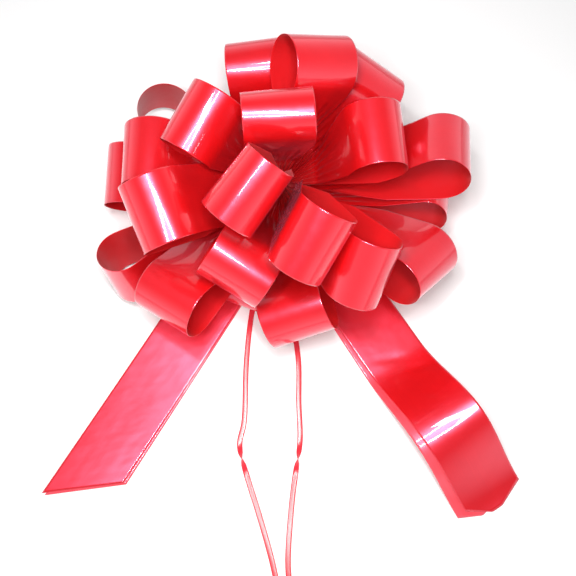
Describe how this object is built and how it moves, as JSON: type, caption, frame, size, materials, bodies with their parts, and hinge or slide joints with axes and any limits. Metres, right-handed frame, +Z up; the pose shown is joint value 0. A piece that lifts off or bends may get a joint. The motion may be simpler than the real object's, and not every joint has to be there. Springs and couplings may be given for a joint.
{
  "type": "gift bow",
  "caption": "Ready-made pull bow of two-ply metallic ribbon: teardrop loops gathered on pull strings into a ball, with two slant-cut tails lying in front.",
  "frame": {"origin": "middle of the underside of the foot weld, where the bow rests on a table", "axes": "+Z up along the stack of welds, -Y towards the two tails and the pull strings, +X to the right seen with the tails nearest"},
  "size_m": [0.4297, 0.5344, 0.2048],
  "materials": {
    "ribbon": "pearlised metallic gloss outside, duller inside",
    "ribbon_back_ply": "satin",
    "weld_film": "satin, pleated",
    "string_film": "gloss"
  },
  "bodies": {
    "stack": {"foot_weld": "weld_film", "string_core": "string_film", "top_knot": "string_film", "pull_string_left": "string_film", "pull_string_right": "string_film", "weld_01": "weld_film", "front_loop_01": "ribbon", "back_loop_01": "ribbon", "weld_02": "weld_film", "front_loop_02": "ribbon", "back_loop_02": "ribbon", "weld_04": "weld_film", "front_loop_04": "ribbon", "back_loop_04": "ribbon", "weld_06": "weld_film", "front_loop_06": "ribbon", "back_loop_06": "ribbon", "weld_07": "weld_film", "front_loop_07": "ribbon", "back_loop_07": "ribbon", "weld_10": "weld_film", "front_loop_10": "ribbon", "back_loop_10": "ribbon", "weld_11": "weld_film", "front_loop_11": "ribbon", "back_loop_11": "ribbon"},
    "tier_03": {"weld_03": "weld_film", "front_loop_03": "ribbon", "back_loop_03": "ribbon"},
    "tier_05": {"weld_05": "weld_film", "front_loop_05": "ribbon", "back_loop_05": "ribbon"},
    "tier_08": {"weld_08": "weld_film", "front_loop_08": "ribbon", "back_loop_08": "ribbon"},
    "tier_09": {"weld_09": "weld_film", "front_loop_09": "ribbon", "back_loop_09": "ribbon"},
    "tail_left": {"tail_left_front": "ribbon", "tail_left_back": "ribbon_back_ply"},
    "tail_right": {"tail_right_front": "ribbon", "tail_right_back": "ribbon_back_ply"}
  },
  "joints": [
    {"name": "tier_03_turn", "type": "hinge", "parent": "stack", "child": "tier_03", "pos_m": [0, 0, 0.0115], "axis": [0, 0, 1], "range_deg": [0, 2.5]},
    {"name": "tier_05_turn", "type": "hinge", "parent": "stack", "child": "tier_05", "pos_m": [0, 0, 0.0185], "axis": [0, 0, 1], "range_deg": [0, 2]},
    {"name": "tier_08_turn", "type": "hinge", "parent": "stack", "child": "tier_08", "pos_m": [0, 0, 0.029], "axis": [0, 0, 1], "range_deg": [0, 2.5]},
    {"name": "tier_09_turn", "type": "hinge", "parent": "stack", "child": "tier_09", "pos_m": [0, 0, 0.0325], "axis": [0, 0, 1], "range_deg": [-5, 0.5]},
    {"name": "tail_left_swing", "type": "hinge", "parent": "stack", "child": "tail_left", "pos_m": [0, 0, 0.001], "axis": [0, 0, 1], "range_deg": [-25, 2.5]},
    {"name": "tail_right_swing", "type": "hinge", "parent": "stack", "child": "tail_right", "pos_m": [0, 0, 0.001], "axis": [0, 0, 1], "range_deg": [-7, 25]}
  ]
}
